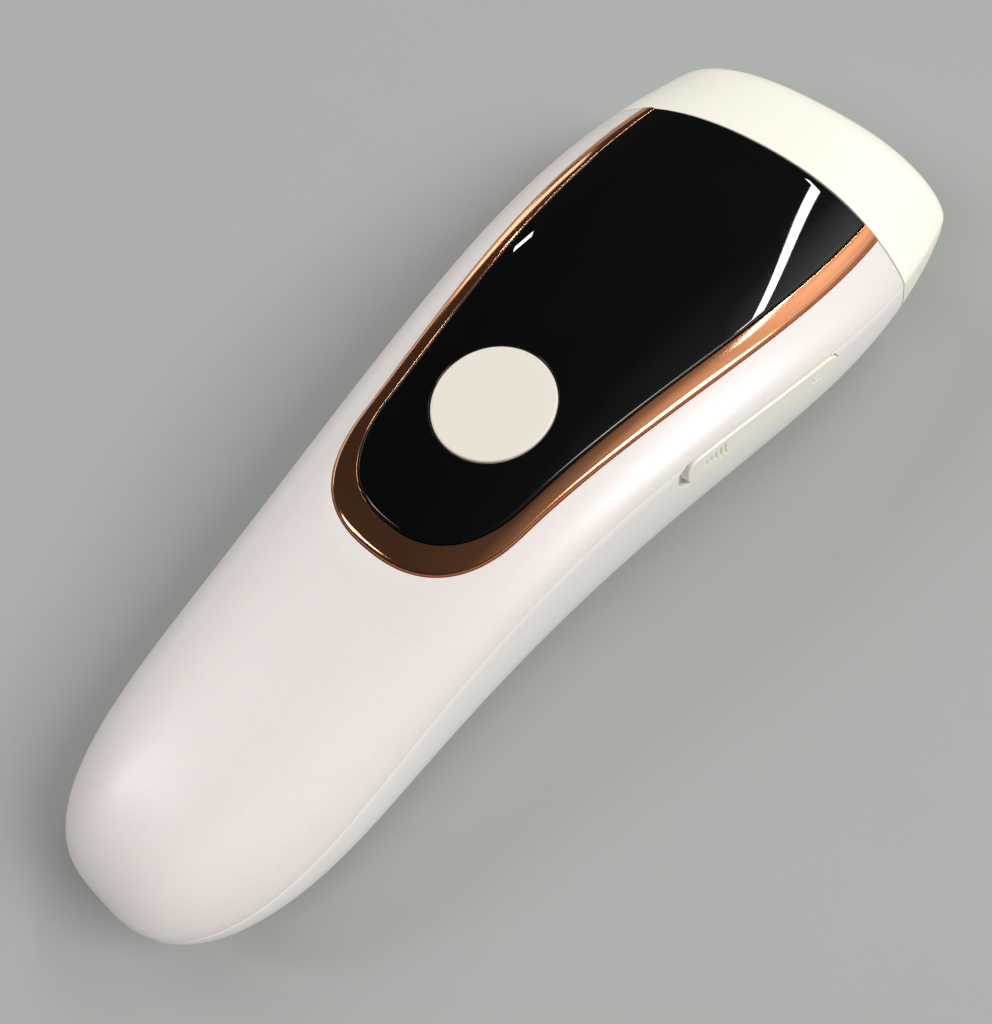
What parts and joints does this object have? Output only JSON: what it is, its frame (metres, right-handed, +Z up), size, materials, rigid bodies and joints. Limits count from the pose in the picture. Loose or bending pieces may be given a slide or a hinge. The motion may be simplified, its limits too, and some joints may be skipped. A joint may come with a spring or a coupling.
{
  "type": "ipl hair remover",
  "caption": "Hand-held flash hair remover: arched white handle, glossy black panel in a rose-gold trim, round flash button, side lock slide and a pull-off lamp head.",
  "frame": {"origin": "middle of the footprint, on the surface the handle rests on", "axes": "+Z up, +Y along the handle towards the lamp head, +X to the side of the lock slide"},
  "size_m": [0.0666, 0.186, 0.0411],
  "materials": {
    "pearl_white": "satin pearl white",
    "shell_white": "smooth white",
    "cream": "smooth cream",
    "rose_gold": "rose-gold mirror plating",
    "piano_black": "piano black",
    "black_plastic": "moulded black",
    "steel": "bright",
    "brass": "plain",
    "copper_wire": "enamelled copper",
    "ferrite": "sintered",
    "circuit_board": "solder mask green",
    "capacitor_sleeve": "shrink sleeve",
    "quartz": "clear quartz",
    "amber_glass": "coated filter",
    "mirror": "polished"
  },
  "bodies": {
    "handle": {"top_cover": "pearl_white", "bottom_shell": "shell_white", "trim_bezel": "rose_gold", "display_panel": "piano_black", "lock_spring": "steel", "head_bulkhead": "black_plastic", "lamp_socket": "black_plastic", "intake_grille": "black_plastic", "fan_frame": "black_plastic", "dc_jack": "black_plastic", "flash_capacitor": "capacitor_sleeve", "power_board": "circuit_board", "transformer_core": "ferrite", "transformer_winding": "copper_wire", "trigger_coil": "black_plastic", "control_board": "circuit_board", "tact_switch": "steel", "led_display": "black_plastic", "shell_screw_rear_left": "steel", "shell_screw_rear_right": "steel", "shell_screw_front_left": "steel", "shell_screw_front_right": "steel"},
    "flash_button": {"flash_button": "cream"},
    "lock_slide": {"lamp_lock_slide": "cream"},
    "fan_rotor": {"fan_rotor": "black_plastic"},
    "lamp_head": {"lamp_head_shell": "cream", "window_frame": "shell_white", "filter_glass": "amber_glass", "lamp_holder": "black_plastic", "reflector": "mirror", "flash_lamp": "quartz", "terminal_block": "black_plastic", "skin_sensor_left": "steel", "skin_sensor_right": "steel", "lamp_end_cap_left": "steel", "lamp_end_cap_right": "steel", "contact_pin_left": "brass", "contact_pin_right": "brass"}
  },
  "joints": [
    {"name": "button_press", "type": "slide", "parent": "handle", "child": "flash_button", "axis": [0, 0.0655, -0.9979], "range_m": [0, 0.0008], "stiffness_N_per_m": 800, "springref_m": -0.001},
    {"name": "lock_slide_travel", "type": "slide", "parent": "handle", "child": "lock_slide", "axis": [-0.1234, -0.9861, 0.111], "range_m": [0, 0.0012], "stiffness_N_per_m": 400, "springref_m": -0.002, "deforming": ["lock_spring"]},
    {"name": "fan_spin", "type": "hinge", "parent": "handle", "child": "fan_rotor", "pos_m": [0, 0.029, 0.008], "axis": [0, 0, 1], "continuous": true},
    {"name": "head_pull", "type": "slide", "parent": "handle", "child": "lamp_head", "axis": [0, 1, 0], "range_m": [0, 0.035]}
  ]
}
